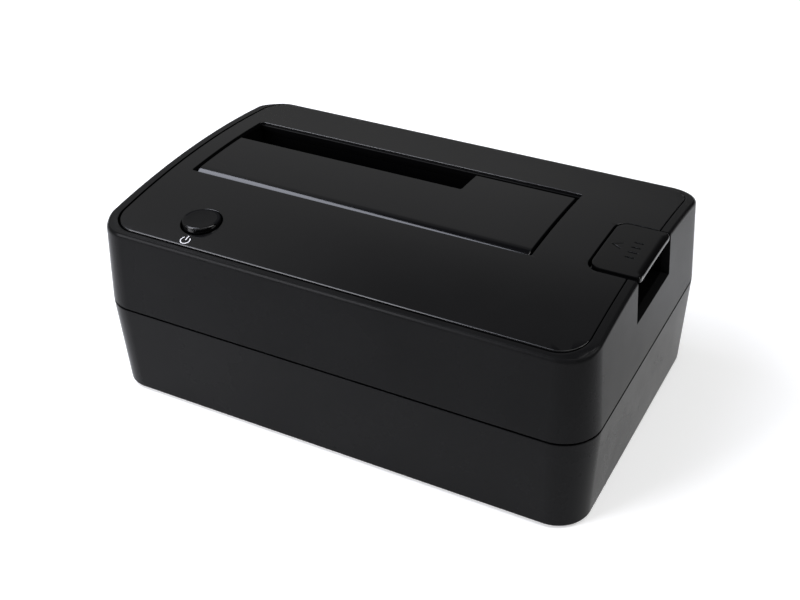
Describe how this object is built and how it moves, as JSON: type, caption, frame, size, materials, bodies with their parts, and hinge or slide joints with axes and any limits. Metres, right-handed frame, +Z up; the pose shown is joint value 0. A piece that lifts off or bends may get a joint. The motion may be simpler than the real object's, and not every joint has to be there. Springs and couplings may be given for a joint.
{
  "type": "hard drive docking station",
  "caption": "Desktop dock that takes a bare hard drive upright: two-part shell, arched panel, sprung slot flap, power button and an eject lever that lifts the drive.",
  "frame": {"origin": "centre of the footprint, on the plane the rubber feet stand on", "axes": "+X along the length towards the eject tab, +Y towards the rear with the ports, +Z up"},
  "size_m": [0.146, 0.0924, 0.0567],
  "materials": {
    "shell_plastic": "fine matte moulded texture",
    "panel_plastic": "smooth satin",
    "flap_plastic": "smooth satin",
    "button_plastic": "satin top with a polished edge",
    "tab_plastic": "satin with a polished nose",
    "well_plastic": "matte",
    "foot_rubber": "matte rubber",
    "steel": "ground rod",
    "spring_steel": "drawn wire",
    "screw_steel": "zinc plated",
    "circuit_board": "solder mask",
    "chip_plastic": "moulded",
    "contact_metal": "gold plated",
    "port_metal": "nickel plated",
    "usb_plastic": "moulded",
    "nylon": "natural nylon",
    "clear_plastic": "clear moulded",
    "inductor_body": "pressed ferrite",
    "capacitor_can": "sleeved can",
    "chip_ceramic": "fired ceramic",
    "wire_jacket": "soft jacket"
  },
  "bodies": {
    "housing": {"upper_shell": "shell_plastic", "base_shell": "shell_plastic", "top_panel": "panel_plastic", "drive_well": "well_plastic", "flap_hinge_pin": "steel", "flap_spring": "spring_steel", "switch_housing": "chip_plastic", "switch_spring": "spring_steel", "button_board": "circuit_board", "button_board_screws": "screw_steel", "status_led": "nylon", "light_pipe": "clear_plastic", "eject_pivot_pin": "steel", "eject_spring": "spring_steel", "main_board": "circuit_board", "main_board_screws": "screw_steel", "drive_connector": "chip_plastic", "drive_connector_contacts": "contact_metal", "usb_port_shell": "port_metal", "usb_port_insulator": "usb_plastic", "usb_port_contacts": "contact_metal", "dc_jack_housing": "chip_plastic", "dc_jack_pin": "port_metal", "dc_jack_leaf": "contact_metal", "bridge_chip": "chip_plastic", "regulator_chips": "chip_plastic", "power_inductors": "inductor_body", "capacitors": "capacitor_can", "crystal": "port_metal", "chip_passives": "chip_ceramic", "cable_headers": "nylon", "button_cable": "wire_jacket", "well_screws": "screw_steel", "case_screws": "screw_steel", "rubber_feet": "foot_rubber"},
    "flap": {"slot_flap": "flap_plastic"},
    "button": {"power_button": "button_plastic", "switch_plunger": "nylon"},
    "lever": {"eject_lever": "tab_plastic"},
    "lifter": {"eject_lifter": "nylon"}
  },
  "joints": [
    {"name": "flap_hinge", "type": "hinge", "parent": "housing", "child": "flap", "pos_m": [0, -0.008, 0.05153], "axis": [-1, 0, 0], "range_deg": [0, 88], "stiffness_Nm_per_rad": 0.004, "springref_deg": -34.38, "deforming": ["flap_spring"]},
    {"name": "button_press", "type": "slide", "parent": "housing", "child": "button", "axis": [0, 0, -1], "range_m": [0, 0.0015], "stiffness_N_per_m": 600, "springref_m": -0.002, "deforming": ["switch_spring"]},
    {"name": "eject_pivot", "type": "hinge", "parent": "housing", "child": "lever", "pos_m": [0.058, 0.0016, 0.0498], "axis": [0, 1, 0], "range_deg": [0, 26], "stiffness_Nm_per_rad": 0.02, "springref_deg": -17.19, "deforming": ["eject_spring"]},
    {"name": "lifter_slide", "type": "slide", "parent": "housing", "child": "lifter", "axis": [0, 0, 1], "range_m": [0, 0.00427]}
  ],
  "couplings": [
    {"joint": "eject_pivot", "follows": "lifter_slide", "rad_per_m": 106.2}
  ]
}
